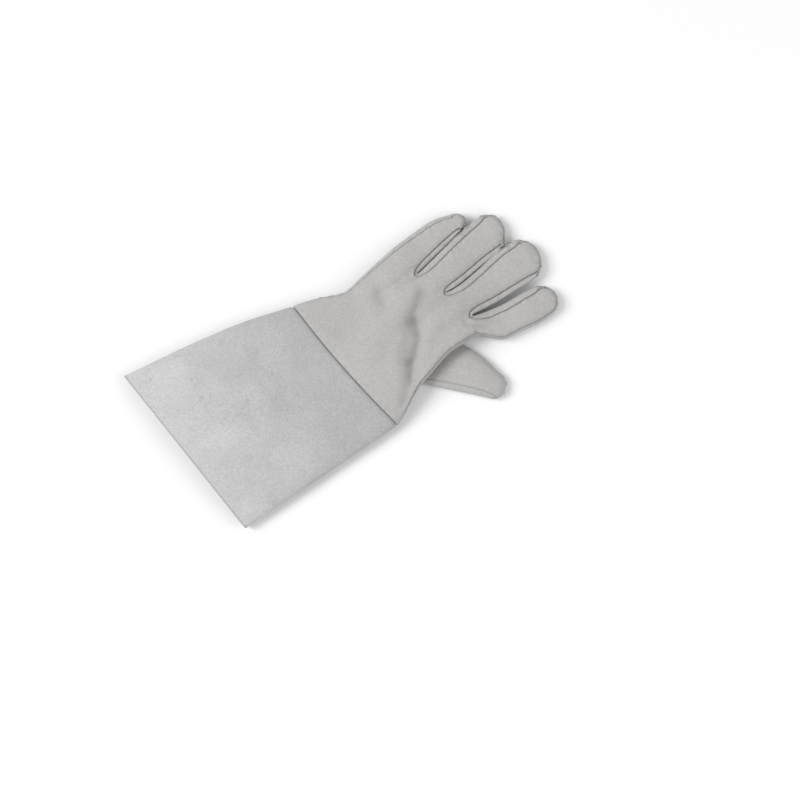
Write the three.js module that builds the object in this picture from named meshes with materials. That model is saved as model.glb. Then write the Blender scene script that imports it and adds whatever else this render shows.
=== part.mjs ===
// Leather gauntlet glove for the left hand, lying palm down on its own.
// Millimetres, +Z up. The fingers point to +X, the little finger is on +Y and the thumb on -Y.
// Eight cut and sewn pieces: two cuff panels, the back and the palm of the hand, three side strips between the
// fingers and the thumb. Each piece is a bent sheet of leather, and each seam keeps a small gap.
import * as THREE from 'three';

// Leather and seams
const leatherThickness = 1.1;
const splitThickness = 1.4;
const seamGap = 0.3;
const placesPerMm = 100;
const seamDip = 0.7;
const restFlat = 0.5;

// Cuff
const cuffLength = 161;
const mouthWidth = 174;
const mouthHeight = 20;
const wristSeamWidth = 140;
const wristSeamHeight = 21;
const seamLean = 29.6;
const seamBow = 3;
const cuffSide = 0.4;

// Hand
const handLength = 200;
const palmWidth = 110;
const handHeight = 26;
const palmWebSetback = 3;
const webRound = 1.8;
const webBulge = 3.2;

// Seams seen from above, measured in from the outline on a finger's plus and minus side
const stripInset = { plus: 5.6, minus: 4 };
const outerInset = { plus: 4, minus: 1.4 };
const webInset = 3;
const tipInset = 1.2;
const palmInset = 4.2;
const stripEndWidth = 1.2;

// Thumb, which comes out of a hole in the palm and lies on the table under the hand's edge
const thumbLength = 92;
const thumbWidth = 42;
const thumbHeight = 13.5;
const thumbTurn = THREE.MathUtils.degToRad(55);
const thumbRoot = { along: 0.27, across: -0.155 };
const thumbRootEnd = 0.3;

// The palm rises over the thumb's root: fully at the shares of hand length and palm width named full, and not at
// all at those named none. The back rises less, by the last share.
const palmLift = 10.5;
const liftWrist = { none: 0, full: 0.35 };
const liftAlong = { full: 0.5, none: 0.66 };
const liftAcross = { full: -0.07, none: 0.2 };
const liftLostAbove = 0.6;

// Roundness of the sections: 2 is an ellipse, more is squarer
const cuffPower = 2.5;
const handPower = 2.5;
const fingerPower = 2.3;
const thumbPower = 2.3;

// Facets
const handColumns = 14;
const fingerColumns = 6;
const tipColumns = 4;
const fingerRows = 6;
const cuffColumns = 8;
const stripRows = 4;
const thumbRings = 9;
const thumbTipRings = 4;
const tipSpread = THREE.MathUtils.degToRad(48);

// Cuff sides, from the mouth at 0 to the wrist seam at 1, as shares of the cuff's width there
const cuffSides = [
  { at: 0, plus: 0.49, minus: -0.492 },
  { at: 0.5, plus: 0.512, minus: -0.5 },
  { at: 0.8, plus: 0.506, minus: -0.504 },
  { at: 1, plus: 0.471, minus: -0.509 },
];

// Hand sides, from the wrist seam at 0 to the webs at 1: along in hand lengths, across in palm widths,
// top and side in hand heights
const handSides = [
  { at: 0.22, plusAlong: 0.04, plus: 0.571, minusAlong: 0.155, minus: -0.558, top: 0.8, side: 0.36 },
  { at: 0.44, plusAlong: 0.155, plus: 0.511, minusAlong: 0.24, minus: -0.464, top: 0.9, side: 0.4 },
  { at: 0.6, plusAlong: 0.235, plus: 0.545, minusAlong: 0.32, minus: -0.409, top: 0.96, side: 0.4 },
  { at: 0.8, plusAlong: 0.335, plus: 0.591, minusAlong: 0.44, minus: -0.336, top: 1, side: 0.4 },
  { at: 1, plusAlong: 0.44, plus: 0.635, minusAlong: 0.58, minus: -0.325, top: 0.95, side: 0.4 },
];

// Fingers: the section rows give at and the two sides as shares of hand length and palm width, and top as a
// share of hand height. The last row is the centre of the round tip, and tip is where the finger ends.
const fingers = [
  {
    tip: 0.7785,
    rows: [
      { at: 0.45, plus: 0.639, minus: 0.339, top: 0.8 },
      { at: 0.56, plus: 0.666, minus: 0.397, top: 0.68 },
      { at: 0.65, plus: 0.676, minus: 0.4445, top: 0.62 },
      { at: 0.725, plus: 0.636, minus: 0.483, top: 0.58 },
    ],
  },
  {
    tip: 0.9215,
    rows: [
      { at: 0.5, plus: 0.358, minus: 0.099, top: 0.88 },
      { at: 0.61, plus: 0.416, minus: 0.112, top: 0.78 },
      { at: 0.725, plus: 0.477, minus: 0.1545, top: 0.7 },
      { at: 0.835, plus: 0.516, minus: 0.196, top: 0.6 },
    ],
  },
  {
    tip: 1.0,
    rows: [
      { at: 0.55, plus: 0.0955, minus: -0.1545, top: 0.9 },
      { at: 0.605, plus: 0.102, minus: -0.156, top: 0.86 },
      { at: 0.725, plus: 0.147, minus: -0.157, top: 0.74 },
      { at: 0.84, plus: 0.199, minus: -0.1445, top: 0.66 },
      { at: 0.915, plus: 0.207, minus: -0.134, top: 0.6 },
    ],
  },
  {
    tip: 0.974,
    rows: [
      { at: 0.595, plus: -0.171, minus: -0.345, top: 0.82 },
      { at: 0.665, plus: -0.187, minus: -0.4455, top: 0.72 },
      { at: 0.75, plus: -0.2, minus: -0.457, top: 0.68 },
      { at: 0.835, plus: -0.1945, minus: -0.469, top: 0.64 },
      { at: 0.895, plus: -0.199, minus: -0.463, top: 0.58 },
    ],
  },
];
const fingerSide = 0.45;

// Where each slit between two fingers ends on the back of the hand, in hand lengths
const webs = [0.476, 0.549, 0.596];

// Thumb sections: its two edges along and across its own axis, as shares of thumb length and thumb width,
// and top as a share of thumb height. The last row is the centre line of the round tip.
const thumbSections = [
  { at: 0, lowAlong: 0.05, low: -1.007, highAlong: 0.325, high: 0.723, top: 0.68 },
  { at: 0.22, lowAlong: 0.176, low: -0.736, highAlong: 0.363, high: 0.721, top: 0.66 },
  { at: 0.44, lowAlong: 0.282, low: -0.469, highAlong: 0.468, high: 0.655, top: 0.74 },
  { at: 0.64, lowAlong: 0.507, low: -0.343, highAlong: 0.574, high: 0.633, top: 1 },
  { at: 0.84, lowAlong: 0.75, low: -0.205, highAlong: 0.714, high: 0.575, top: 1 },
  { at: 1, lowAlong: 0.885, low: -0.135, highAlong: 0.862, high: 0.465, top: 0.9 },
];
const thumbSide = 0.42;

// Share of hand length over which a finger's lean is read before its round tip
const leanReach = 0.05;

// How late along the hand the rows bend towards the fingers they end in, and the wrist seam's bow fades
const lateBend = 3;

// The block of the palm's grid that the thumb's hole takes out
const holeColumns = { from: 2, to: 12 };
const holeRows = { from: 20, to: 27 };
const holeRound = 2.6;

// Folds and swells on the back of the hand: ends in hand lengths and palm widths, depth and width in mm
const folds = [
  { fromAlong: 0.43, fromAcross: 0.17, toAlong: 0.365, toAcross: 0.055, depth: 1.4, width: 7 },
  { fromAlong: 0.365, fromAcross: 0.055, toAlong: 0.32, toAcross: -0.09, depth: 3.2, width: 6.5 },
  { fromAlong: 0.32, fromAcross: -0.09, toAlong: 0.25, toAcross: -0.27, depth: 3.6, width: 6 },
  { fromAlong: 0.25, fromAcross: -0.27, toAlong: 0.15, toAcross: -0.5, depth: 2.4, width: 6 },
  { fromAlong: 0.3, fromAcross: 0.33, toAlong: 0.27, toAcross: 0.22, depth: 1.5, width: 7 },
  { fromAlong: 0.52, fromAcross: -0.345, toAlong: 0.6, toAcross: -0.28, depth: 2, width: 5 },
  { fromAlong: 0.42, fromAcross: -0.02, toAlong: 0.34, toAcross: -0.22, depth: -1.6, width: 8 },
  { fromAlong: 0.26, fromAcross: -0.02, toAlong: 0.18, toAcross: -0.24, depth: -1.4, width: 8 },
];

// Folds run out between these shares of hand height, so that the palm stays plain
const foldsUpwards = { none: 0.35, full: 0.6 };

const quarter = Math.PI / 2;
const lerp = THREE.MathUtils.lerp;
const smooth = THREE.MathUtils.smoothstep;

// Reads a table between its rows on a smooth curve and gives all of its named columns
function rowAt(rows, at) {
  const next = rows.findIndex((row) => row.at > at);
  const k = Math.max(1, next < 0 ? rows.length - 1 : next);
  const [before, a, b, after] = [rows[k - 2] ?? rows[k - 1], rows[k - 1], rows[k], rows[k + 1] ?? rows[k]];
  const span = b.at - a.at;
  const t = (at - a.at) / span;
  const read = {};
  for (const name of Object.keys(a)) {
    const slopeA = ((b[name] - before[name]) / (b.at - before.at)) * span;
    const slopeB = ((after[name] - a[name]) / (after.at - a.at)) * span;
    const rise = b[name] - a[name];
    read[name] = a[name] + t * slopeA + t * t * (3 * rise - 2 * slopeA - slopeB)
      + t * t * t * (slopeA + slopeB - 2 * rise);
  }
  return read;
}

// Cosine and sine of a squared-off circle
function roundness(angle, power) {
  const squared = (value) => Math.sign(value) * Math.abs(value) ** (2 / power);
  return { across: squared(Math.cos(angle)), up: squared(Math.sin(angle)) };
}

// The angle at which a squared-off circle reaches a share of its half width
function angleAtShare(share, power) {
  return Math.acos(THREE.MathUtils.clamp(share, 0, 1) ** (power / 2));
}

// A point on a flattened tube lying on the table. Angle 0 is the plus side, a quarter turn the top.
function sectionPoint(section, angle, power) {
  const { across, up } = roundness(angle, power);
  const share = (1 + across) / 2;
  const reach = up > 0 ? section.top - section.side : section.side;
  return new THREE.Vector3(
    lerp(section.minus.x, section.plus.x, share) - section.bow * (1 - across * across),
    lerp(section.minus.y, section.plus.y, share),
    section.side + reach * up,
  );
}

function cuffSection(v) {
  const sides = rowAt(cuffSides, v);
  const width = lerp(mouthWidth, wristSeamWidth, v);
  const x = -cuffLength * (1 - v);
  const top = lerp(mouthHeight, wristSeamHeight, v);
  return {
    plus: new THREE.Vector2(x - seamLean / 2, sides.plus * width),
    minus: new THREE.Vector2(x + seamLean / 2, sides.minus * width),
    top,
    side: cuffSide * top,
    bow: seamBow * v ** lateBend,
  };
}

const wrist = cuffSection(1);
const handRows = [
  {
    at: 0, plusAlong: wrist.plus.x, plus: wrist.plus.y, minusAlong: wrist.minus.x, minus: wrist.minus.y,
    top: wrist.top, side: wrist.side,
  },
  ...handSides.map((row) => ({
    at: row.at,
    plusAlong: row.plusAlong * handLength,
    plus: row.plus * palmWidth,
    minusAlong: row.minusAlong * handLength,
    minus: row.minus * palmWidth,
    top: row.top * handHeight,
    side: row.side * handHeight,
  })),
];

function handSection(u) {
  const row = rowAt(handRows, u);
  return {
    plus: new THREE.Vector2(row.plusAlong, row.plus),
    minus: new THREE.Vector2(row.minusAlong, row.minus),
    top: row.top,
    side: row.side,
    bow: seamBow * (1 - u) ** lateBend,
  };
}

// Distance in plan from a point to a fold's line
function foldDistance(fold, point) {
  const from = new THREE.Vector2(fold.fromAlong * handLength, fold.fromAcross * palmWidth);
  const line = new THREE.Vector2(fold.toAlong * handLength, fold.toAcross * palmWidth).sub(from);
  const offset = new THREE.Vector2(point.x, point.y).sub(from);
  const t = THREE.MathUtils.clamp(offset.dot(line) / line.lengthSq(), 0, 1);
  return offset.addScaledVector(line, -t).length();
}

// Lets a raw point lie as the empty glove lies: raised over the thumb, folded on the back, flat on the table
function settle(point, u) {
  const overThumb = smooth(u, liftWrist.none, liftWrist.full)
    * (1 - smooth(point.x, liftAlong.full * handLength, liftAlong.none * handLength))
    * (1 - smooth(point.y, liftAcross.full * palmWidth, liftAcross.none * palmWidth));
  const height = Math.max(0, point.z - restFlat);
  let dent = 0;
  let swell = 0;
  for (const fold of folds) {
    const depth = fold.depth * Math.exp(-((foldDistance(fold, point) / fold.width) ** 2));
    dent = Math.max(dent, depth);
    swell = Math.min(swell, depth);
  }
  const onBack = smooth(height, foldsUpwards.none * handHeight, foldsUpwards.full * handHeight);
  const lift = palmLift * overThumb * (1 - liftLostAbove * height / handHeight);
  point.z = height + lift - onBack * (dent + swell);
  return point;
}

// Finger sections in millimetres
const hand = fingers.map((finger) => ({
  tip: finger.tip * handLength,
  rows: finger.rows.map((row) => ({
    at: row.at * handLength,
    plus: row.plus * palmWidth,
    minus: row.minus * palmWidth,
    top: row.top * handHeight,
  })),
}));

hand.forEach((finger, k) => {
  const tipRow = finger.rows[finger.rows.length - 1];
  const reach = leanReach * handLength;
  const early = rowAt(finger.rows, tipRow.at - reach);
  finger.tipCentre = tipRow.at;
  finger.tipSlope = (tipRow.plus + tipRow.minus - early.plus - early.minus) / (2 * reach);
  finger.slits = { plus: k > 0, minus: k < hand.length - 1 };
  finger.start = {
    plus: finger.slits.plus ? webs[k - 1] * handLength : wristToWeb('plusAlong'),
    minus: finger.slits.minus ? webs[k] * handLength : wristToWeb('minusAlong'),
  };
});

function wristToWeb(side) {
  return handRows[handRows.length - 1][side];
}

// A point on a finger. Turn is a quarter on the sides and swings to 0 at the very tip.
function fingerPoint(finger, x, turn, angle) {
  const row = rowAt(finger.rows, x);
  const { across, up } = roundness(angle, fingerPower);
  const ahead = (finger.tip - finger.tipCentre) * across * Math.cos(turn);
  const side = fingerSide * row.top;
  return new THREE.Vector3(
    x + ahead,
    (row.plus + row.minus) / 2 + (row.plus - row.minus) / 2 * across * Math.sin(turn) + finger.tipSlope * ahead,
    side + (up > 0 ? row.top - side : side) * up,
  );
}

// The angles of the two seams of a finger at a column: on the back, and on the palm where a strip is sewn in
function seamAngles(finger, sideName, column, x) {
  const row = rowAt(finger.rows, x);
  const half = (row.plus - row.minus) / 2;
  const opened = smooth(column, 0, 1);
  const first = fingerColumns - 2;
  const closing = smooth(column, first, fingerColumns + tipColumns);
  const beside = finger.slits[sideName] ? lerp(webInset, stripInset[sideName], opened) : outerInset[sideName];
  const back = angleAtShare(1 - lerp(beside, tipInset, closing) / half, fingerPower);
  const low = -angleAtShare(1 - palmInset / half, fingerPower);
  const end = back - 2 * stripEndWidth / row.top;
  return { back, palm: finger.slits[sideName] ? lerp(low, end, closing) : back };
}

// Where a grid column and a share across (1 on the plus side, -1 on the minus side) fall on a finger
function fingerPlace(finger, onBack, column, share) {
  const setback = onBack ? 0 : palmWebSetback;
  const start = (sideName) => finger.start[sideName] + (finger.slits[sideName] ? webRound - setback : 0);
  if (column <= fingerColumns) {
    const from = lerp(start('minus'), start('plus'), (1 + share) / 2);
    return { x: lerp(from, finger.tipCentre, column / fingerColumns), turn: Math.sign(share) * quarter,
      reach: Math.abs(share) };
  }
  const t = (column - fingerColumns) / tipColumns;
  const corner = lerp(quarter, tipSpread, t);
  const aside = Math.sin(corner) * share;
  const ahead = t * Math.sqrt(1 - aside * aside) + (1 - t) * Math.cos(corner) * share * share;
  return { x: finger.tipCentre, turn: Math.atan2(aside, ahead), reach: Math.hypot(ahead, aside) };
}

function fingerNode(finger, onBack, column, share) {
  const { x, turn, reach } = fingerPlace(finger, onBack, column, share);
  const seams = seamAngles(finger, share > 0 ? 'plus' : 'minus', column, x);
  if (onBack) {
    return fingerPoint(finger, x, turn, lerp(quarter, seams.back, reach));
  }
  const pastTip = Math.abs(share) < 1 ? Math.max(0, (column - fingerColumns) / tipColumns) : 0;
  return fingerPoint(finger, x, turn, lerp(-quarter, lerp(seams.palm, seams.back, pastTip), reach));
}

// The root of a slit: the middle of its round end, on the back or on the palm
function webNode(k, onBack) {
  const x = webs[k] * handLength - (onBack ? 0 : palmWebSetback);
  const sides = [fingerNode(hand[k], onBack, 0, -1), fingerNode(hand[k + 1], onBack, 0, 1)];
  return new THREE.Vector3(x - webRound, (sides[0].y + sides[1].y) / 2, (sides[0].z + sides[1].z) / 2);
}

// All rows of the hand at the webs, from the plus side to the minus side
function webColumn(onBack) {
  const nodes = [];
  hand.forEach((finger, k) => {
    for (let row = 0; row <= fingerRows; row += 1) {
      nodes.push(fingerNode(finger, onBack, 0, 1 - 2 * row / fingerRows));
    }
    if (finger.slits.minus) {
      nodes.push(webNode(k, onBack));
    }
  });
  return nodes;
}

const rowCount = hand.length * (fingerRows + 1) + webs.length;
const backDegrees = { from: 0, to: 180 };
const palmDegrees = { from: -240, to: 60 };

// Angle of a row at the wrist seam: over the back from the plus side to the minus side, or under the palm
function wristAngle(row, onBack) {
  return (onBack ? 1 : -1) * Math.PI * row / (rowCount - 1);
}

// The angle whose point on the last hand section lies nearest to a given point. The palm's rows are looked for
// a little way up both sides too, because the outer seams lie above the middle of the sides.
function nearestAngle(point, onBack) {
  const last = handSection(1);
  const range = onBack ? backDegrees : palmDegrees;
  let best = { distance: Infinity, angle: 0 };
  for (let degrees = range.from; degrees <= range.to; degrees += 1) {
    const angle = THREE.MathUtils.degToRad(degrees);
    const distance = sectionPoint(last, angle, handPower).distanceTo(point);
    if (distance < best.distance) {
      best = { distance, angle };
    }
  }
  return best.angle;
}

// Grid of the hand's back or palm: columns from the wrist seam to the finger tips, rows across
function handGrid(onBack) {
  const ends = webColumn(onBack);
  const grid = [];
  const lastSection = handSection(1);
  for (let column = 0; column < handColumns; column += 1) {
    const u = column / handColumns;
    const section = handSection(u);
    grid.push(ends.map((end, row) => {
      const endAngle = nearestAngle(end, onBack);
      const angle = lerp(wristAngle(row, onBack), endAngle, Math.sin(quarter * u));
      const drift = end.clone().sub(sectionPoint(lastSection, endAngle, handPower));
      return settle(sectionPoint(section, angle, handPower).addScaledVector(drift, u ** lateBend), u);
    }));
  }
  grid.push(ends.map((end) => settle(end.clone(), 1)));
  for (let column = 1; column <= fingerColumns + tipColumns; column += 1) {
    const nodes = [];
    hand.forEach((finger, k) => {
      for (let row = 0; row <= fingerRows; row += 1) {
        nodes.push(settle(fingerNode(finger, onBack, column, 1 - 2 * row / fingerRows), 1));
      }
      if (finger.slits.minus) {
        nodes.push(null);
      }
    });
    grid.push(nodes);
  }
  return grid;
}

// Bilinear reading of a grid between its nodes
function gridPoint(grid, column, row) {
  const [i, j] = [Math.min(Math.floor(column), grid.length - 2), Math.floor(row)];
  const low = grid[i][j].clone().lerp(grid[i][j + 1], row - j);
  const high = grid[i + 1][j].clone().lerp(grid[i + 1][j + 1], row - j);
  return low.lerp(high, column - i);
}

// The nodes around the thumb's hole, each with its indices in the palm's grid
function holeRing() {
  const ring = [];
  for (let row = holeRows.from; row < holeRows.to; row += 1) {
    ring.push([holeColumns.to, row]);
  }
  for (let column = holeColumns.to; column > holeColumns.from; column -= 1) {
    ring.push([column, holeRows.to]);
  }
  for (let row = holeRows.to; row > holeRows.from; row -= 1) {
    ring.push([holeColumns.from, row]);
  }
  for (let column = holeColumns.from; column < holeColumns.to; column += 1) {
    ring.push([column, holeRows.from]);
  }
  return ring;
}

function palmGrid() {
  const grid = handGrid(false);
  const middle = [(holeColumns.from + holeColumns.to) / 2, (holeRows.from + holeRows.to) / 2];
  const half = [(holeColumns.to - holeColumns.from) / 2, (holeRows.to - holeRows.from) / 2];
  const moved = holeRing().map(([column, row]) => {
    const [a, b] = [(column - middle[0]) / half[0], (row - middle[1]) / half[1]];
    const shrink = (Math.abs(a) ** holeRound + Math.abs(b) ** holeRound) ** (-1 / holeRound);
    return gridPoint(grid, middle[0] + a * shrink * half[0], middle[1] + b * shrink * half[1]);
  });
  holeRing().forEach(([column, row], k) => {
    grid[column][row] = moved[k];
  });
  return grid;
}

// The strip between two fingers: up one finger's side, round the web and up the other finger's side
function stripGrid(k) {
  const last = fingerColumns + tipColumns;
  const sideNodes = (finger, share, column) => {
    const sideName = share > 0 ? 'plus' : 'minus';
    const above = fingerPlace(finger, true, column, share);
    const below = fingerPlace(finger, false, column, share);
    const high = seamAngles(finger, sideName, column, above.x).back;
    const low = seamAngles(finger, sideName, column, below.x).palm;
    return Array.from({ length: stripRows + 1 }, (_, row) => {
      const t = row / stripRows;
      return settle(fingerPoint(finger, lerp(above.x, below.x, t), above.turn, lerp(high, low, t)), 1);
    });
  };
  const grid = [];
  for (let column = last; column >= 0; column -= 1) {
    grid.push(sideNodes(hand[k], -1, column));
  }
  const [top, bottom] = [webNode(k, true), webNode(k, false)];
  grid.push(Array.from({ length: stripRows + 1 }, (_, row) => {
    const t = row / stripRows;
    const node = top.clone().lerp(bottom, t);
    node.x += webBulge * Math.sin(Math.PI * t);
    return settle(node, 1);
  }));
  for (let column = 0; column <= last; column += 1) {
    grid.push(sideNodes(hand[k + 1], 1, column));
  }
  return grid;
}

function cuffGrid(onBack) {
  const grid = [];
  for (let column = 0; column <= cuffColumns; column += 1) {
    const section = cuffSection(column / cuffColumns);
    grid.push(Array.from({ length: rowCount }, (_, row) => (
      settle(sectionPoint(section, wristAngle(row, onBack), cuffPower), 0)
    )));
  }
  return grid;
}

// The thumb's section in the hand's frame
function thumbSection(at) {
  const row = rowAt(thumbSections, at);
  const [ahead, aside] = [Math.cos(thumbTurn), Math.sin(thumbTurn)];
  const place = (along, across) => new THREE.Vector2(
    thumbRoot.along * handLength + along * thumbLength * ahead + across * thumbWidth * aside,
    thumbRoot.across * palmWidth - along * thumbLength * aside + across * thumbWidth * ahead,
  );
  const top = row.top * thumbHeight;
  return {
    plus: place(row.highAlong, row.high),
    minus: place(row.lowAlong, row.low),
    top,
    side: thumbSide * top,
    bow: 0,
  };
}

// Rings of the thumb from the hole in the palm to the closed tip
function thumbGrid(palm) {
  const root = holeRing().map(([column, row]) => palm[column][row]);
  const centre = root.reduce((sum, node) => sum.add(node), new THREE.Vector3()).divideScalar(root.length);
  const wide = Math.max(...root.map((node) => Math.abs(node.x - centre.x)));
  const deep = Math.max(...root.map((node) => Math.abs(node.y - centre.y)));
  const angles = root.map((node) => Math.atan2((centre.y - node.y) / deep, (node.x - centre.x) / wide));
  const first = thumbSection(0);
  const grid = [];
  for (let ring = 0; ring <= thumbRings; ring += 1) {
    const at = ring / thumbRings;
    const section = thumbSection(at);
    const held = (1 - smooth(at, 0, thumbRootEnd)) ** 2;
    grid.push(root.map((node, k) => {
      const flat = sectionPoint(section, angles[k], thumbPower);
      const drift = node.clone().sub(sectionPoint(first, angles[k], thumbPower));
      flat.z = Math.max(0, flat.z - restFlat * (1 - held));
      return ring === 0 ? node.clone() : flat.addScaledVector(drift, held);
    }));
  }
  const last = thumbSection(1);
  const middle = last.plus.clone().add(last.minus).divideScalar(2);
  const ahead = thumbLength * (1 - rowAt(thumbSections, 1).highAlong);
  const tipPoint = (angle, swing) => {
    const flat = sectionPoint(last, angle, thumbPower);
    const narrowed = Math.cos(swing);
    return new THREE.Vector3(
      lerp(middle.x, flat.x, narrowed) + ahead * Math.sin(swing) * Math.cos(thumbTurn),
      lerp(middle.y, flat.y, narrowed) - ahead * Math.sin(swing) * Math.sin(thumbTurn),
      Math.max(0, lerp(last.side, flat.z, narrowed) - restFlat),
    );
  };
  for (let ring = 1; ring < thumbTipRings; ring += 1) {
    grid.push(angles.map((angle) => tipPoint(angle, quarter * ring / thumbTipRings)));
  }
  grid.push(angles.fill(tipPoint(0, quarter)));
  return grid;
}

// A panel is a grid of points with the cells that are there. Facing turns its outer side, and round panels
// close on themselves across. A column that holds one point all along is a pole.
function panel(points, { facing, round = false, present = () => true }) {
  const known = new Map([[null, null]]);
  points.flat().filter(Boolean).forEach((point) => known.set(point, { point, cells: [] }));
  const nodes = points.map((column) => column.map((point) => known.get(point)));
  const across = nodes[0].length;
  const cells = [];
  for (let i = 0; i + 1 < nodes.length; i += 1) {
    for (let j = 0; j < (round ? across : across - 1); j += 1) {
      const next = (j + 1) % across;
      const corners = [nodes[i][j], nodes[i + 1][j], nodes[i + 1][next], nodes[i][next]];
      if (corners.every(Boolean) && present(i, j)) {
        cells.push(facing > 0 ? corners : corners.reverse());
      }
    }
  }
  for (const corners of cells) {
    const centre = corners.reduce((sum, node) => sum.add(node.point), new THREE.Vector3()).divideScalar(4);
    const normal = corners[2].point.clone().sub(corners[0].point)
      .cross(corners[3].point.clone().sub(corners[1].point)).normalize();
    corners.forEach((node) => node.cells.push({ centre, normal }));
  }
  const used = [...new Set(cells.flat())];
  used.forEach((node) => {
    node.normal = node.cells.reduce((sum, cell) => sum.add(cell.normal), new THREE.Vector3()).normalize();
  });
  return { cells, used, edges: rimEdges(cells) };
}

// Edges that only one cell has, in that cell's order
function rimEdges(cells) {
  const open = new Map();
  const names = new Map();
  const nameOf = (node) => {
    if (!names.has(node)) {
      names.set(node, names.size);
    }
    return names.get(node);
  };
  for (const corners of cells) {
    corners.forEach((node, k) => {
      const next = corners[(k + 1) % 4];
      const [a, b] = [nameOf(node), nameOf(next)];
      if (a === b) {
        return;
      }
      if (!open.delete(`${b} ${a}`)) {
        open.set(`${a} ${b}`, [node, next]);
      }
    });
  }
  return [...open.values()];
}

// Sews panels: where edge nodes of several panels share a place, they share one rim direction, and each panel
// draws back by half of the seam's gap and dips in
function sew(panels) {
  const places = new Map();
  for (const { edges } of panels) {
    for (const node of new Set(edges.flat())) {
      const key = node.point.toArray().map((value) => Math.round(value * placesPerMm)).join(' ');
      places.set(key, [...(places.get(key) ?? []), node]);
    }
  }
  for (const meeting of places.values()) {
    if (meeting.length > 1) {
      const shared = meeting.reduce((sum, node) => sum.add(node.normal), new THREE.Vector3()).normalize();
      for (const node of meeting) {
        const inwards = node.cells.reduce((sum, cell) => (
          sum.add(cell.centre.clone().sub(node.point).normalize())
        ), new THREE.Vector3()).normalize();
        const corner = node.cells.length === 2 ? 1 : Math.SQRT2;
        node.point = node.point.clone().addScaledVector(inwards, corner * seamGap / 2)
          .addScaledVector(shared, -seamDip);
        node.normal = shared;
      }
    }
  }
}

// The closed solid of a panel: outer side, inner side and rims. Each quad is split on its shorter diagonal.
function solid({ cells, used, edges }, thickness) {
  const points = [
    ...used.map((node) => node.point),
    ...used.map((node) => node.point.clone().addScaledVector(node.normal, -thickness)),
  ];
  const index = new Map(used.map((node, k) => [node, k]));
  const outer = (node) => index.get(node);
  const inner = (node) => index.get(node) + used.length;
  const triangles = [];
  const isShort = (a, b, c, d) => points[a].distanceTo(points[c]) <= points[b].distanceTo(points[d]);
  const split = (a, b, c, d) => triangles.push(a, b, c, a, c, d);
  for (const corners of cells) {
    const [a, b, c, d] = isShort(...corners.map(outer)) ? corners : [...corners.slice(1), corners[0]];
    split(outer(a), outer(b), outer(c), outer(d));
    split(inner(c), inner(b), inner(a), inner(d));
  }
  for (const [a, b] of edges) {
    const rim = [outer(b), outer(a), inner(a), inner(b)];
    split(...(isShort(...rim) ? rim : [...rim.slice(1), rim[0]]));
  }
  const geometry = new THREE.BufferGeometry();
  geometry.setAttribute('position', new THREE.Float32BufferAttribute(points.flatMap((p) => p.toArray()), 3));
  geometry.setIndex(triangles);
  geometry.computeVertexNormals();
  return geometry;
}

const palm = palmGrid();
const inHole = (column, row) => column >= holeColumns.from && column < holeColumns.to
  && row >= holeRows.from && row < holeRows.to;

const grainLeather = { color: 0xb9b8b6, roughness: 0.75, metalness: 0 };
const splitLeather = { color: 0xcbcbcb, roughness: 0.95, metalness: 0 };

const pieces = [
  { name: 'cuff_back', panel: panel(cuffGrid(true), { facing: -1 }), thickness: splitThickness,
    leather: splitLeather },
  { name: 'cuff_palm', panel: panel(cuffGrid(false), { facing: 1 }), thickness: splitThickness,
    leather: splitLeather },
  { name: 'hand_back', panel: panel(handGrid(true), { facing: -1 }), thickness: leatherThickness,
    leather: grainLeather },
  { name: 'hand_palm', panel: panel(palm, { facing: 1, present: (i, j) => !inHole(i, j) }),
    thickness: leatherThickness, leather: grainLeather },
  { name: 'fourchette_pinky_ring', panel: panel(stripGrid(0), { facing: 1 }), thickness: leatherThickness,
    leather: grainLeather },
  { name: 'fourchette_ring_middle', panel: panel(stripGrid(1), { facing: 1 }), thickness: leatherThickness,
    leather: grainLeather },
  { name: 'fourchette_middle_index', panel: panel(stripGrid(2), { facing: 1 }), thickness: leatherThickness,
    leather: grainLeather },
  { name: 'thumb', panel: panel(thumbGrid(palm), { facing: -1, round: true }), thickness: leatherThickness,
    leather: grainLeather },
];
sew(pieces.map((piece) => piece.panel));

const glove = new THREE.Group();
for (const { name, panel: sewn, thickness, leather } of pieces) {
  const mesh = new THREE.Mesh(solid(sewn, thickness), new THREE.MeshStandardMaterial(leather));
  mesh.name = name;
  glove.add(mesh);
}

// The origin goes to the middle of the glove's footprint, on the table
const box = new THREE.Box3().setFromObject(glove);
const middle = box.getCenter(new THREE.Vector3());
glove.position.set(-middle.x, -middle.y, -box.min.z);

export default glove;
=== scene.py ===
import math

import bpy
import numpy as np
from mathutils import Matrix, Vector, kdtree, noise


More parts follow.
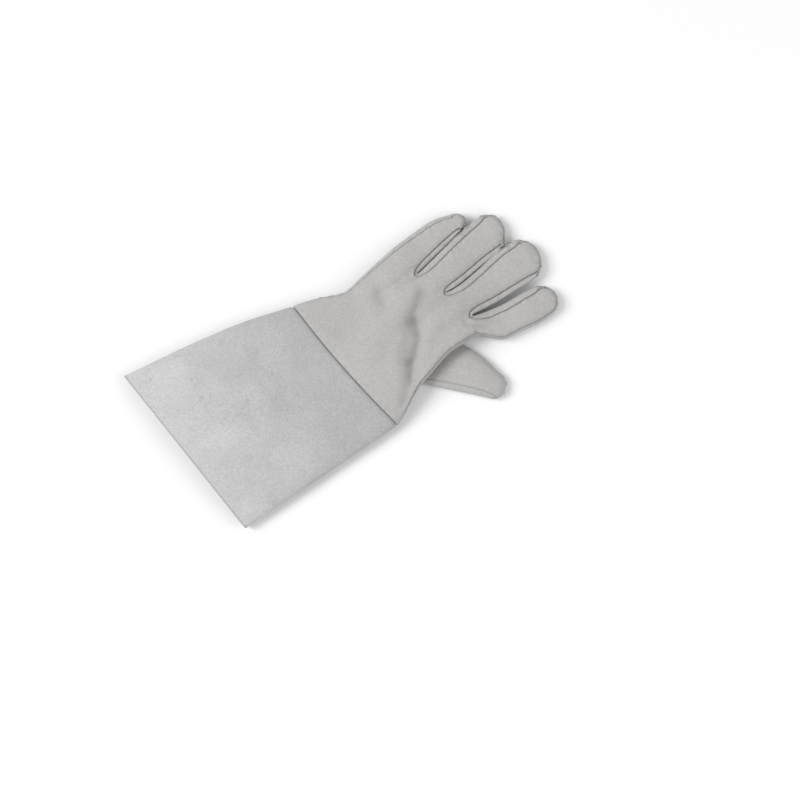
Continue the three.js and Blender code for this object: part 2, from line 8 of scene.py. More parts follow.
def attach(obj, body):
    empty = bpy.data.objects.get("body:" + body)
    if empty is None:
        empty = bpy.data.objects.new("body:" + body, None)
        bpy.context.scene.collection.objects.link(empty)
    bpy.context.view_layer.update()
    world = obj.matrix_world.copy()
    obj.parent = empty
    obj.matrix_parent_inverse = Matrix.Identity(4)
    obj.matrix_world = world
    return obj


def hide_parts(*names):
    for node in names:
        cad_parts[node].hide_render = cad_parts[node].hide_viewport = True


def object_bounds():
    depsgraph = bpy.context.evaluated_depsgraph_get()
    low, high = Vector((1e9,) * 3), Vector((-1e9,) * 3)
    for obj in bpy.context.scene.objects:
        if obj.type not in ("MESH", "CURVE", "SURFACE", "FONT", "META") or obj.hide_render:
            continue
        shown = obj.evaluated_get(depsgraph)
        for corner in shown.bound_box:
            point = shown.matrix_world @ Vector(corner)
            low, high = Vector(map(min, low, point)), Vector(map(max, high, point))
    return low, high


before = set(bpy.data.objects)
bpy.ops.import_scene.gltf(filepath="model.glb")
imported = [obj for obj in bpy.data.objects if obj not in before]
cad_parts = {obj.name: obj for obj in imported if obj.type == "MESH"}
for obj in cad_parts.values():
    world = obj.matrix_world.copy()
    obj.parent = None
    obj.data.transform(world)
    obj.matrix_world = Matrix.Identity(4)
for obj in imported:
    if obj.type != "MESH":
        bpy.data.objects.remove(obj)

bl_info = {
    "name": "Leather Gauntlet Glove",
    "version": (1, 0, 0),
    "blender": (4, 5, 0),
    "location": "3D View > Sidebar > Glove",
    "description": "Builds a light grey leather gauntlet glove that lies on a table, palm down",
    "category": "Add Mesh",
}

CAD_LOW, CAD_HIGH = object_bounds()

MM = 0.001
# Middle of the seam between cuff and hand, in the CAD frame. Plans and lines below are millimetres from here,
# along the glove to the finger tips and across it to the little finger.
SEAM_MIDDLE = Vector((-12.0, 3.53, 0.0)) * MM

# The photograph's frame: the spot on the table in its middle, what it spans, and which way is up in it
VIEW_CENTRE = Vector((27.5, -51.6, 7.0)) * MM + SEAM_MIDDLE
VIEW_WIDTH = 0.706
VIEW_UP = Vector((0.4848, 0.8746, 0.0))

# The cuff's cut mouth runs aslant: along = MOUTH_ALONG - MOUTH_LEAN * across. The corners of the cut edge lie
# within MOUTH_STRIP of it.
MOUTH_ALONG = -161.0
MOUTH_LEAN = 0.1732
MOUTH_STRIP = 2.5

# Valleys (depth above 0) and swells (depth below 0) worn into the back of the hand. Each fades over its
# width, or on the left of its line, seen along the line, over its rise
BACK_LINES = [
    {"line": [(88, 22), (84, 14), (76, 7), (67, -1)], "depth": 1.2, "width": 3.8, "rise": 8.0},
    {"line": [(74, 0), (72, -7), (69, -15), (62, -23), (54, -30), (47, -39)],
     "depth": 2.7, "width": 3.8, "rise": 12.0},
    {"line": [(47, -39), (39, -49), (30, -59)], "depth": 1.5, "width": 3.4, "rise": 8.0},
    {"line": [(86, 19), (73, 6), (64, -10), (50, -30), (33, -55)], "depth": -1.5, "width": 5.6},
    {"line": [(82, -6), (66, -26)], "depth": 0.5, "width": 9.0},
    {"line": [(37, 0), (45, -3), (51, -2)], "depth": 0.6, "width": 1.8},
    {"line": [(40, 5), (48, 3)], "depth": 0.3, "width": 1.8},
    {"line": [(60, 53), (55, 40), (52, 27)], "depth": 0.8, "width": 5.0},
    {"line": [(92, -14), (99, -21), (110, -24)], "depth": 0.6, "width": 4.0},
    {"line": [(110, -22), (119, -28), (128, -37), (131, -46)], "depth": 0.9, "width": 2.2},
    {"line": [(104, -27), (113, -33), (120, -40)], "depth": 0.6, "width": 2.2},
    {"line": [(124, -24), (132, -33)], "depth": -0.4, "width": 3.0},
    {"line": [(30, -30), (22, -45)], "depth": 0.4, "width": 4.0},
    {"line": [(14, 20), (26, 8), (34, 2)], "depth": 0.35, "width": 5.0},
]

# Painted shade in the creases of the back of the hand. Depth is the share of painted shade there, and a seam
# has 1.
PAINTED_CREASE_SHADE = [
    {"line": [(88, 22), (82, 18), (75, 12), (66, 3)], "depth": 1.1, "width": 4.5},
    {"line": [(71, 2), (67, -6), (65, -13), (58, -20), (50, -27)], "depth": 1.35, "width": 4.6},
    {"line": [(50, -27), (43, -36), (35, -45), (28, -54)], "depth": 0.95, "width": 3.2},
    {"line": [(66, 2), (44, 0), (28, -14)], "depth": 0.5, "width": 13.0},
    {"line": [(57, 42), (54, 29)], "depth": 0.5, "width": 5.0},
    {"line": [(112, -24), (120, -29), (127, -36)], "depth": 0.4, "width": 2.4},
]

# How far out the little finger's side is filled at the wrist seam: in full from "to" millimetres across the
# glove, not at all up to "from", and less with the distance along the glove
WRIST_FILL = {"along": -13.0, "reach": 15.0, "from": 25.0, "to": 60.0, "out": 1.8}

# The middle from which the little finger's tip is filled out, most at its reach, and the slit beside the
# finger, towards which the filling fades
TIP_FILL = {"middle": (143.5, 59.0), "reach": 9.0, "out": 2.3, "slit": [(94, 39), (153, 55)], "fade": 7.0}

# Soft creases under the palm, at the roots of the fingers and beside the thumb
PALM_LINES = [
    {"line": [(84, 58), (88, 45), (86, 30)], "depth": 1.2, "width": 2.6},
    {"line": [(92, 30), (97, 18), (100, 6)], "depth": 1.0, "width": 2.4},
    {"line": [(104, 2), (112, -12), (116, -28)], "depth": 0.9, "width": 2.4},
    {"line": [(74, 48), (62, 30), (46, 20)], "depth": 1.1, "width": 3.4},
    {"line": [(120, 68), (121, 52)], "depth": 0.5, "width": 1.8},
    {"line": [(141, 42), (143, 26)], "depth": 0.5, "width": 1.8},
    {"line": [(152, 12), (153, -6)], "depth": 0.5, "width": 1.8},
    {"line": [(150, -28), (149, -44)], "depth": 0.5, "width": 1.8},
]

# Long soft folds of the thumb, and the closing seam along its lower edge, which ends near the tip
THUMB_FOLDS = [
    {"line": [(74, -50), (92, -66), (104, -78)], "depth": 0.35, "width": 3.0},
    {"line": [(84, -44), (98, -56), (106, -66)], "depth": 0.3, "width": 2.4},
]
THUMB_SEAM = [(44, -38), (60, -48.5), (73.5, -60.5), (86, -71.5), (95, -80), (101, -87), (104, -93)]
# The seam's groove: its width in millimetres, its depth, and the share of painted shade in it
THUMB_GROOVE = {"width": 0.7, "depth": 0.9 * MM, "shade": 0.8}

# Gentle waves of each panel, with height and width in millimetres and the noise's seed. The cuff's two panels
# have the same waves with a seed each.
CUFF_WAVES = ((0.35, 52), (0.12, 19))
BACK_WAVES = ((0.30, 24, 1.0), (0.12, 9, 2.0))
PALM_WAVES = ((0.25, 24, 4.0), (0.1, 9, 6.0))
THUMB_WAVES = ((0.2, 20, 8.0),)

# Beside a seam the rows within SEAM_REACH are drawn together, the higher SEAM_DRAW the more. The puckers are
# highest at PUCKER_MIDDLE from the seam, and the shade painted along the seam fades over SHADE_WIDTH.
SEAM_REACH = 4 * MM
SEAM_DRAW = 1.7
PUCKER_MIDDLE = 1.8 * MM
PUCKER_SPREAD = 2.4 * MM
SHADE_WIDTH = 0.8 * MM

# Distances from a seam at which folds reach their full depth and easing its full strength
FOLD_FADE = 6 * MM
EASE_FADE = 5 * MM

# Share of the painted shade of the seams and creases in the colour of each leather
HAND_SHADE = 0.24
CUFF_SHADE = 0.45

# Sewn edges of the side strips above this height belong to the back of the hand, and those below to the palm
STRIP_SEAM_LEVEL = 8 * MM

# The palm's creases are deepest on the table and fade out up to this height, on the fingers' sides
PALM_CREASE_LEVEL = 14 * MM

# Soft boxes, from the middle of the view: metres to the right, up in the picture and high, size and watts
LAMPS = [
    {"name": "key_softbox", "right": -3.2, "up": 0.2, "high": 3.2, "size": 2.4, "watts": 134.0},
    {"name": "fill_softbox", "right": 1.3, "up": -0.5, "high": 1.5, "size": 1.6, "watts": 12.0},
]
SKY_STRENGTH = 0.5

# The table's side and the level of its top, just under the glove, in metres
TABLE_SIZE = 40.0
TABLE_LEVEL = -0.0002


def linear(text):
    """The linear colour of an sRGB hex value."""
    parts = [int(text[k:k + 2], 16) / 255 for k in (1, 3, 5)]
    return [c / 12.92 if c <= 0.04045 else ((c + 0.055) / 1.055) ** 2.4 for c in parts]


class GloveSizes(bpy.types.PropertyGroup):
    """Sizes of the glove's leather, seams and folds."""

    hand_leather: bpy.props.FloatProperty(
        name="Hand Leather", description="Thickness of the grain leather of the hand", default=1.1 * MM,
        unit="LENGTH")
    cuff_leather: bpy.props.FloatProperty(
        name="Cuff Leather", description="Thickness of the split leather of the cuff", default=1.4 * MM,
        unit="LENGTH")
    seam_roll: bpy.props.FloatProperty(
        name="Seam Roll", description="Radius on which a panel turns in at a seam", default=1.3 * MM,
        unit="LENGTH")
    pucker_height: bpy.props.FloatProperty(
        name="Pucker Height", description="Height of the puckers along a seam", default=0.4 * MM,
        unit="LENGTH")
    pucker_length: bpy.props.FloatProperty(
        name="Pucker Length", description="Distance from one pucker to the next along a seam",
        default=4.6 * MM, unit="LENGTH")
    fold_strength: bpy.props.FloatProperty(
        name="Fold Strength", description="Share of the folds' depths", default=1.0, subtype="FACTOR")
    grain_width: bpy.props.FloatProperty(
        name="Grain Width", description="Width of one pebble of the leather's grain", default=0.9 * MM,
        unit="LENGTH")
    nap_width: bpy.props.FloatProperty(
        name="Nap Width", description="Width of a tuft of the split leather's nap", default=0.8 * MM,
        unit="LENGTH")
    smoothing: bpy.props.IntProperty(
        name="Smoothing", description="Subdivision levels of the leather panels", default=3, min=1, max=3)
    camera_height: bpy.props.FloatProperty(
        name="Camera Height", description="Camera's angle above the table", default=math.radians(84),
        subtype="ANGLE")


class GloveColours(bpy.types.PropertyGroup):
    """Colours of the two leathers, of the shade painted in their seams and creases, and of the table."""

    hand: bpy.props.FloatVectorProperty(
        name="Hand", description="Grain leather of the hand", subtype="COLOR", default=linear("#B7B6B5"))
    hand_worn: bpy.props.FloatVectorProperty(
        name="Hand, Worn", description="Grain leather where it is handled", subtype="COLOR",
        default=linear("#B0AFAD"))
    cuff: bpy.props.FloatVectorProperty(
        name="Cuff", description="Split leather of the cuff", subtype="COLOR", default=linear("#C6C6C6"))
    cuff_cloudy: bpy.props.FloatVectorProperty(
        name="Cuff, Cloudy", description="Split leather towards the wrist and in its clouds", subtype="COLOR",
        default=linear("#B0AFAF"))
    # Painted shade along the seams, the cut edges and the creases of the back; also the colour of the cuff's
    # darker flecks
    seam: bpy.props.FloatVectorProperty(
        name="Seam", description="Shade that gathers in the seams", subtype="COLOR",
        default=linear("#6F6D6A"))
    table: bpy.props.FloatVectorProperty(
        name="Table", description="Pale table top", subtype="COLOR", default=linear("#F7F7F7"))


def add(tree, kind, settings=(), inputs=()):
    """Adds a node. Settings are its properties, and inputs are values or sockets by input name or number."""
    node = tree.nodes.new(kind)
    for name, value in dict(settings).items():
        setattr(node, name, value)
    for name, value in dict(inputs).items():
        if isinstance(value, bpy.types.NodeSocket):
            tree.links.new(value, node.inputs[name])
        else:
            node.inputs[name].default_value = value
    return node


def new_material(name):
    material = bpy.data.materials.new(name)
    material.use_nodes = True
    material.node_tree.nodes.clear()
    return material, material.node_tree


def rgba(colour):
    return (*colour, 1.0)


def per_metre(width):
    """Scale of a noise or cell pattern whose features are that wide, in metres."""
    return 1.0 / width


def soft_shade(tree, place, width, low, high, detail=3.0):
    """Noise with features of a width, spread from low to high."""
    cloud = add(tree, "ShaderNodeTexNoise", inputs={
        "Vector": place, "Scale": per_metre(width), "Detail": detail, "Roughness": 0.55})
    return add(tree, "ShaderNodeMapRange", inputs={
        "Value": cloud.outputs["Fac"], "From Min": 0.3, "From Max": 0.7, "To Min": low,
        "To Max": high}).outputs["Result"]


def mixed(tree, share, first, second, blend="MIX"):
    node = add(tree, "ShaderNodeMix", {"data_type": "RGBA", "blend_type": blend}, {0: share})
    for slot, colour in ((6, first), (7, second)):
        if isinstance(colour, bpy.types.NodeSocket):
            tree.links.new(colour, node.inputs[slot])
        else:
            node.inputs[slot].default_value = rgba(colour)
    return node.outputs[2]


def grey(tree, value):
    return add(tree, "ShaderNodeCombineColor", inputs={
        "Red": value, "Green": value, "Blue": value}).outputs["Color"]


def tanned_grain_leather(name, sizes, colours):
    """Chrome-tanned cowhide with its grain side out, soft and matt: a fine pebble grain that only shows close
    by, a faint sheen on the swells, slight darker clouds where hands have pressed it, and painted shade along
    its seams and creases."""
    material, tree = new_material(name)
    place = add(tree, "ShaderNodeTexCoord").outputs["Object"]
    worn = soft_shade(tree, place, width=0.038, low=0.0, high=1.0)
    colour = mixed(tree, worn, colours.hand, colours.hand_worn)
    # Pores are about 0.2 mm across on the real leather, and are drawn wider so that they show
    speckle = soft_shade(tree, place, width=1.5 * MM, low=0.88, high=1.09)
    colour = mixed(tree, 1.0, colour, grey(tree, speckle), "MULTIPLY")
    # Painted shade along the seams, the cut edges and the creases of the back, from the seam attribute
    seam = add(tree, "ShaderNodeAttribute", {"attribute_name": "seam"}).outputs["Fac"]
    painted_shade = add(tree, "ShaderNodeMath", {"operation": "MULTIPLY"}, {0: seam, 1: HAND_SHADE}).outputs[0]
    colour = mixed(tree, painted_shade, colour, colours.seam)
    wander = add(tree, "ShaderNodeTexNoise", inputs={
        "Vector": place, "Scale": per_metre(2.2 * MM), "Detail": 1.0}).outputs["Color"]
    bent = add(tree, "ShaderNodeVectorMath", {"operation": "MULTIPLY_ADD"}, {
        0: wander, 1: (0.5 * MM, 0.5 * MM, 0.5 * MM), 2: place}).outputs[0]
    pebbles = add(tree, "ShaderNodeTexVoronoi", {"feature": "DISTANCE_TO_EDGE"}, {
        "Vector": bent, "Scale": per_metre(sizes.grain_width), "Randomness": 0.9})
    rounded = add(tree, "ShaderNodeMapRange", {"interpolation_type": "SMOOTHSTEP"}, {
        "Value": pebbles.outputs["Distance"], "From Min": 0.0, "From Max": 0.22}).outputs["Result"]
    fine = add(tree, "ShaderNodeTexNoise", inputs={
        "Vector": place, "Scale": per_metre(0.45 * MM), "Detail": 2.0}).outputs["Fac"]
    crumple = add(tree, "ShaderNodeTexNoise", inputs={
        "Vector": place, "Scale": per_metre(6.0 * MM), "Detail": 3.0, "Roughness": 0.6}).outputs["Fac"]
    soft = add(tree, "ShaderNodeBump", inputs={
        "Strength": 0.6, "Distance": 0.5 * MM, "Height": crumple})
    grain = add(tree, "ShaderNodeBump", inputs={
        "Strength": 0.45, "Distance": 0.07 * MM, "Height": rounded, "Normal": soft.outputs["Normal"]})
    pores = add(tree, "ShaderNodeBump", inputs={
        "Strength": 0.35, "Distance": 0.05 * MM, "Height": fine, "Normal": grain.outputs["Normal"]})
    rough = soft_shade(tree, place, width=5.0 * MM, low=0.60, high=0.74)
    shader = add(tree, "ShaderNodeBsdfPrincipled", inputs={
        "Base Color": colour, "Roughness": rough, "Specular IOR Level": 0.38, "Sheen Weight": 0.10,
        "Sheen Roughness": 0.45, "Normal": pores.outputs["Normal"]})
    add(tree, "ShaderNodeOutputMaterial", inputs={"Surface": shader.outputs["BSDF"]})
    return material


def split_leather(name, sizes, colours):
    """Split cowhide, the layer under the grain, buffed on both sides: no gloss at all, a short dusty nap,
    cloudy patches where the fibres lie another way, and a few faint darker flecks."""
    material, tree = new_material(name)
    place = add(tree, "ShaderNodeTexCoord").outputs["Object"]
    clouds = soft_shade(tree, place, width=0.030, low=-0.25, high=0.35, detail=5.0)
    # The cuff's colour turns darker towards the wrist seam and in its clouds
    along = add(tree, "ShaderNodeSeparateXYZ", inputs={"Vector": place}).outputs["X"]
    to_wrist = add(tree, "ShaderNodeMapRange", {"interpolation_type": "SMOOTHSTEP"}, {
        "Value": along, "From Min": CAD_LOW[0], "From Max": SEAM_MIDDLE[0]}).outputs["Result"]
    handled = add(tree, "ShaderNodeMath", {"operation": "ADD", "use_clamp": True}, {
        0: clouds, 1: to_wrist}).outputs[0]
    colour = mixed(tree, handled, colours.cuff, colours.cuff_cloudy)
    # Tufts are about 0.3 mm across on the real leather, and are drawn wider so that they show
    for width, low, high in ((1.6, 0.84, 1.12), (4.5, 0.97, 1.03)):
        tufts = soft_shade(tree, place, sizes.nap_width * width, low, high, detail=4.0)
        colour = mixed(tree, 1.0, colour, grey(tree, tufts), "MULTIPLY")
    fleck = add(tree, "ShaderNodeTexNoise", inputs={
        "Vector": place, "Scale": per_metre(11 * MM), "Detail": 2.0}).outputs["Fac"]
    fleck = add(tree, "ShaderNodeMapRange", {"interpolation_type": "SMOOTHSTEP"}, {
        "Value": fleck, "From Min": 0.66, "From Max": 0.78, "To Min": 0.0, "To Max": 0.2}).outputs["Result"]
    colour = mixed(tree, fleck, colour, colours.seam)
    # Painted shade along the seams and the cut edge of the mouth, from the seam attribute
    seam = add(tree, "ShaderNodeAttribute", {"attribute_name": "seam"}).outputs["Fac"]
    painted_shade = add(tree, "ShaderNodeMath", {"operation": "MULTIPLY"}, {0: seam, 1: CUFF_SHADE}).outputs[0]
    colour = mixed(tree, painted_shade, colour, colours.seam)
    nap = add(tree, "ShaderNodeTexNoise", inputs={
        "Vector": place, "Scale": per_metre(sizes.nap_width), "Detail": 5.0, "Roughness": 0.7}).outputs["Fac"]
    uneven = add(tree, "ShaderNodeTexNoise", inputs={
        "Vector": place, "Scale": per_metre(9 * MM), "Detail": 3.0}).outputs["Fac"]
    soft = add(tree, "ShaderNodeBump", inputs={
        "Strength": 0.5, "Distance": 0.4 * MM, "Height": uneven})
    fuzzy = add(tree, "ShaderNodeBump", inputs={
        "Strength": 0.8, "Distance": 0.18 * MM, "Height": nap, "Normal": soft.outputs["Normal"]})
    shader = add(tree, "ShaderNodeBsdfPrincipled", inputs={
        "Base Color": colour, "Roughness": 0.95, "Specular IOR Level": 0.2, "Sheen Weight": 0.25,
        "Sheen Roughness": 0.7, "Normal": fuzzy.outputs["Normal"]})
    add(tree, "ShaderNodeOutputMaterial", inputs={"Surface": shader.outputs["BSDF"]})
    return material


def matt_table(colours):
    """A plain pale table top, painted matt."""
    material, tree = new_material("matt_painted_table")
    shader = add(tree, "ShaderNodeBsdfPrincipled", inputs={
        "Base Color": rgba(colours.table), "Roughness": 0.9, "Specular IOR Level": 0.2})
    add(tree, "ShaderNodeOutputMaterial", inputs={"Surface": shader.outputs["BSDF"]})
    return material


def leather_material(context, name, make):
    """The leather's material of that name, made on first use."""
    scene = context.scene
    return bpy.data.materials.get(name) or make(name, scene.glove_sizes, scene.glove_colours)


def deselect_all():
    if bpy.context.object and bpy.context.object.mode != "OBJECT":
        bpy.ops.object.mode_set(mode="OBJECT")
    bpy.ops.object.select_all(action="DESELECT")


def vertex_array(mesh):
    flat = np.empty(len(mesh.vertices) * 3)
    mesh.vertices.foreach_get("co", flat)
    return flat.reshape(-1, 3)


def put_corners(mesh, co):
    mesh.vertices.foreach_set("co", co.ravel())
    mesh.update()


def normal_array(mesh):
    return np.array([n.vector[:] for n in mesh.vertex_normals])


def whole_copy(node, name):
    """A copy of a CAD panel with its doubles merged and its four-sided faces restored."""
    same_place = 2e-6
    folded, skewed = math.radians(70), math.radians(180)
    deselect_all()
    piece = bpy.data.objects.new(name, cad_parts[node].data.copy())
    bpy.context.scene.collection.objects.link(piece)
    piece.select_set(True)
    bpy.context.view_layer.objects.active = piece
    bpy.ops.object.mode_set(mode="EDIT")
    bpy.ops.mesh.select_all(action="SELECT")
    bpy.ops.mesh.remove_doubles(threshold=same_place)
    bpy.ops.mesh.tris_convert_to_quads(face_threshold=folded, shape_threshold=skewed)
    bpy.ops.object.mode_set(mode="OBJECT")
    return piece


def inner_partners(co, normals, thickness):
    """Pairs each corner of a panel with the corner on the leather's other side. The pairs that go straightest
    through the leather, at its thickness, are made first."""
    least, most, off_size = 0.7, 1.3, 6
    tree = kdtree.KDTree(len(co))
    for k, point in enumerate(co):
        tree.insert(point, k)
    tree.balance()
    pairs = []
    for k, point in enumerate(co):
        for _, other, distance in tree.find_range(point, thickness * most):
            if k < other and distance > thickness * least:
                straight = float((point - co[other]) @ (normals[k] - normals[other])) / distance
                pairs.append((straight - off_size * abs(distance / thickness - 1), k, other))
    partners = np.full(len(co), -1)
    for _, k, other in sorted(pairs, reverse=True):
        if partners[k] < 0 and partners[other] < 0:
            partners[k], partners[other] = other, k
    return partners


def outer_faces(mesh, partners, faces_out):
    """Numbers of the faces on the panel's outer side. The rim's faces hold a corner and its partner."""
    corners = [list(face.vertices) for face in mesh.polygons]
    rim = [any(partners[v] in face for v in face) for face in corners]
    by_edge = {}
    for k, face in enumerate(corners):
        for a, b in zip(face, face[1:] + face[:1]):
            by_edge.setdefault((min(a, b), max(a, b)), []).append(k)
    neighbours = [[] for _ in corners]
    for shared in by_edge.values():
        for a in shared:
            neighbours[a] += [b for b in shared if b != a]
    seen, sides = set(), []
    for start in range(len(corners)):
        if rim[start] or start in seen:
            continue
        side, stack = [], [start]
        seen.add(start)
        while stack:
            k = stack.pop()
            side.append(k)
            for n in neighbours[k]:
                if n not in seen and not rim[n]:
                    seen.add(n)
                    stack.append(n)
        sides.append(side)
    if len(sides) != 2:
        raise RuntimeError(f"{mesh.name} has {len(sides)} sides instead of 2")
    return max(sides, key=lambda side: sum(faces_out(mesh.polygons[k]) for k in side))


def keep_faces(piece, kept):
    """Leaves only these faces of a piece."""
    keep = np.zeros(len(piece.data.polygons), bool)
    keep[kept] = True
    bpy.ops.object.mode_set(mode="EDIT")
    bpy.ops.mesh.select_mode(type="FACE")
    bpy.ops.mesh.select_all(action="DESELECT")
    bpy.ops.object.mode_set(mode="OBJECT")
    piece.data.polygons.foreach_set("select", ~keep)
    bpy.ops.object.mode_set(mode="EDIT")
    bpy.ops.mesh.delete(type="FACE")
    bpy.ops.object.mode_set(mode="OBJECT")


def finish_modifier(piece, kind, **settings):
    """Adds a modifier to the piece and applies it."""
    modifier = piece.modifiers.new(kind.title(), kind)
    for name, value in settings.items():
        setattr(modifier, name, value)
    bpy.ops.object.modifier_apply(modifier=modifier.name)


def open_edges(mesh):
    """Pairs of corner numbers of the edges that have one face."""
    used = np.empty(len(mesh.loops), np.int32)
    mesh.loops.foreach_get("edge_index", used)
    ends = np.empty(len(mesh.edges) * 2, np.int32)
    mesh.edges.foreach_get("vertices", ends)
    return ends.reshape(-1, 2)[np.bincount(used, minlength=len(mesh.edges)) == 1]


def walked_edges(mesh):
    """How far along its chain of open edges each corner on one lies."""
    beside = {}
    for a, b in open_edges(mesh).tolist():
        beside.setdefault(a, []).append(b)
        beside.setdefault(b, []).append(a)
    along, left = {}, set(beside)
    while left:
        k, walked = min(left), 0.0
        while k is not None:
            along[k] = walked
            left.discard(k)
            following = next((n for n in beside[k] if n in left), None)
            if following is not None:
                walked += (mesh.vertices[following].co - mesh.vertices[k].co).length
            k = following
    return along


def nearest_of(co, chosen):
    """For each corner the nearest one of the chosen corners, and its distance."""
    tree = kdtree.KDTree(len(chosen))
    for k in chosen:
        tree.insert(co[k], int(k))
    tree.balance()
    found = [tree.find(point) for point in co]
    return np.array([f[1] for f in found]), np.array([f[2] for f in found])


def sewn_corners(mesh, co):
    """Numbers of the corners on the panel's sewn edges, which are all its edges but the cuff's mouth."""
    edge = np.unique(open_edges(mesh))
    return edge[~at_mouth(plan_of(co[edge]))]


def plan_of(co):
    """Millimetres along and across the glove from the middle of the cuff's seam."""
    return (co[:, :2] - np.array(SEAM_MIDDLE)[:2]) / MM


def line_distance(plan, line):
    """Distance in plan to a line of straight stretches, in millimetres, and the side that each place lies on,
    from -1 on its right to 1 on its left."""
    best, side = np.full(len(plan), np.inf), np.zeros(len(plan))
    for a, b in zip(line, line[1:]):
        a, b = np.array(a, float), np.array(b, float)
        ahead, offset = b - a, plan - a
        share = np.clip((offset @ ahead) / (ahead @ ahead), 0, 1)
        distance = np.linalg.norm(offset - share[:, None] * ahead, axis=1)
        aside = (ahead[0] * offset[:, 1] - ahead[1] * offset[:, 0]) / np.linalg.norm(ahead)
        side = np.where(distance < best, aside / np.maximum(distance, 1e-6), side)
        best = np.minimum(best, distance)
    return best, side


def worn_lines(plan, lines):
    """Depth of the worn valleys and swells at each place, in millimetres, or the share of painted shade in
    the creases.
    """
    depth = np.zeros(len(plan))
    for fold in lines:
        distance, side = line_distance(plan, fold["line"])
        left = np.clip((1 + side) / 2, 0, 1)
        left = left * left * (3 - 2 * left)
        width = fold["width"] + (fold.get("rise", fold["width"]) - fold["width"]) * left
        depth += fold["depth"] * np.exp(-(distance / width) ** 2)
    return depth


def unevenness(co, width, seed):
    """Smooth noise from about -1 to 1 with features of a width in millimetres."""
    scale = 1.0 / (width * MM)
    return np.array([2 * noise.noise(Vector((x * scale + seed, y * scale, z * scale))) for x, y, z in co])


def gentle_waves(co, rows):
    """Sum of smooth noises in millimetres, one for each row of waves."""
    return sum(height * unevenness(co, width, seed) for height, width, seed in rows)


def at_mouth(plan):
    """Whether each place lies on the cuff's cut mouth."""
    return plan[:, 0] + MOUTH_LEAN * plan[:, 1] < MOUTH_ALONG + MOUTH_STRIP


def turn_in_seams(piece, sizes, seed, puckers=1.0):
    """Draws the rows near a seam together, rolls the edge inwards and puckers the leather along it.
    Keeps how near each corner is to a seam or a cut edge as an attribute that paints shade on it."""
    mesh = piece.data
    co, normals = vertex_array(mesh), normal_array(mesh)
    lips = np.empty(len(co) * 3, np.float32)
    mesh.attributes["lip"].data.foreach_get("vector", lips)
    lips = lips.reshape(-1, 3)
    lips /= np.maximum(np.linalg.norm(lips, axis=1), 1e-9)[:, None]
    along = walked_edges(mesh)
    nearest, distance = nearest_of(co, sewn_corners(mesh, co))
    near = distance < SEAM_REACH
    drawn = np.where(near, SEAM_REACH * (distance / SEAM_REACH) ** SEAM_DRAW, distance)
    share = np.where(near, drawn / np.maximum(distance, 1e-9), 1.0)
    co = co[nearest] + (co - co[nearest]) * share[:, None]
    roll = sizes.seam_roll
    inner = np.clip(1 - drawn / roll, 0, 1)
    dip = roll * (1 - np.sqrt(1 - inner ** 2))
    co += lips[nearest] * dip[:, None]
    walked = np.array([along[k] for k in nearest])
    wave = np.array([noise.noise(Vector((w / sizes.pucker_length, seed, 0.0))) for w in walked])
    fade = np.exp(-((drawn - PUCKER_MIDDLE) / PUCKER_SPREAD) ** 2)
    co += normals * ((0.5 + 2 * wave) * fade * puckers * sizes.pucker_height)[:, None]
    put_corners(mesh, co)
    from_edge = nearest_of(co, np.unique(open_edges(mesh)))[1]
    # Painted shade along the seams and the cut edges
    painted_shade = np.exp(-(np.minimum(drawn, from_edge) / SHADE_WIDTH) ** 2)
    shade = mesh.attributes.new("seam", "FLOAT", "POINT")
    shade.data.foreach_set("value", painted_shade.astype(np.float32))


def deepen_shade(piece, share):
    """Paints shade on the leather, to at least this share of the seams' painted shade, corner by corner."""
    shade = piece.data.attributes["seam"]
    values = np.empty(len(share), np.float32)
    shade.data.foreach_get("value", values)
    shade.data.foreach_set("value", np.maximum(values, share).astype(np.float32))


def move_up(piece, amount):
    """Moves each corner up by an amount in metres, or down where it is negative, but not under the table.
    The movement fades towards the seams, so that they stay shut."""
    mesh = piece.data
    co = vertex_array(mesh)
    away = nearest_of(co, sewn_corners(mesh, co))[1] / FOLD_FADE
    co[:, 2] = np.maximum(co[:, 2] + amount * np.clip(away, 0, 1), np.minimum(co[:, 2], 0.0))
    put_corners(mesh, co)


def fit_cage(piece):
    """Moves the corners outwards until the rounded panel passes where the CAD panel's corners are."""
    rounds = 4
    wanted = vertex_array(piece.data)
    rounding = piece.modifiers.new("Rounding", "SUBSURF")
    rounding.levels = rounding.render_levels = 1
    rounding.boundary_smooth = "PRESERVE_CORNERS"
    for _ in range(rounds):
        rounded = piece.evaluated_get(bpy.context.evaluated_depsgraph_get()).data
        co = vertex_array(piece.data) + wanted - vertex_array(rounded)[:len(wanted)]
        put_corners(piece.data, co)
        bpy.context.view_layer.update()
    piece.modifiers.remove(rounding)


def fill_wrist_side(piece):
    """Fills the little finger's side out at the wrist seam, where the outline runs straight on."""
    co = vertex_array(piece.data)
    plan = plan_of(co)
    share = np.exp(-((plan[:, 0] - WRIST_FILL["along"]) / WRIST_FILL["reach"]) ** 2)
    share *= np.clip((plan[:, 1] - WRIST_FILL["from"]) / (WRIST_FILL["to"] - WRIST_FILL["from"]), 0, 1)
    co[:, 1] += WRIST_FILL["out"] * MM * share
    put_corners(piece.data, co)


def fill_little_tip(piece):
    """Fills the little finger's tip out all round, up to the slit beside it."""
    co = vertex_array(piece.data)
    plan = plan_of(co)
    offset = plan - np.array(TIP_FILL["middle"])
    away = np.maximum(np.linalg.norm(offset, axis=1), 1e-6)
    share = away / TIP_FILL["reach"]
    distance, side = line_distance(plan, TIP_FILL["slit"])
    fill = TIP_FILL["out"] * share * np.exp(0.5 * (1 - share ** 2))
    fill *= np.clip(distance * side / TIP_FILL["fade"], 0, 1)
    co[:, :2] += offset * (fill / away)[:, None] * MM
    put_corners(piece.data, co)


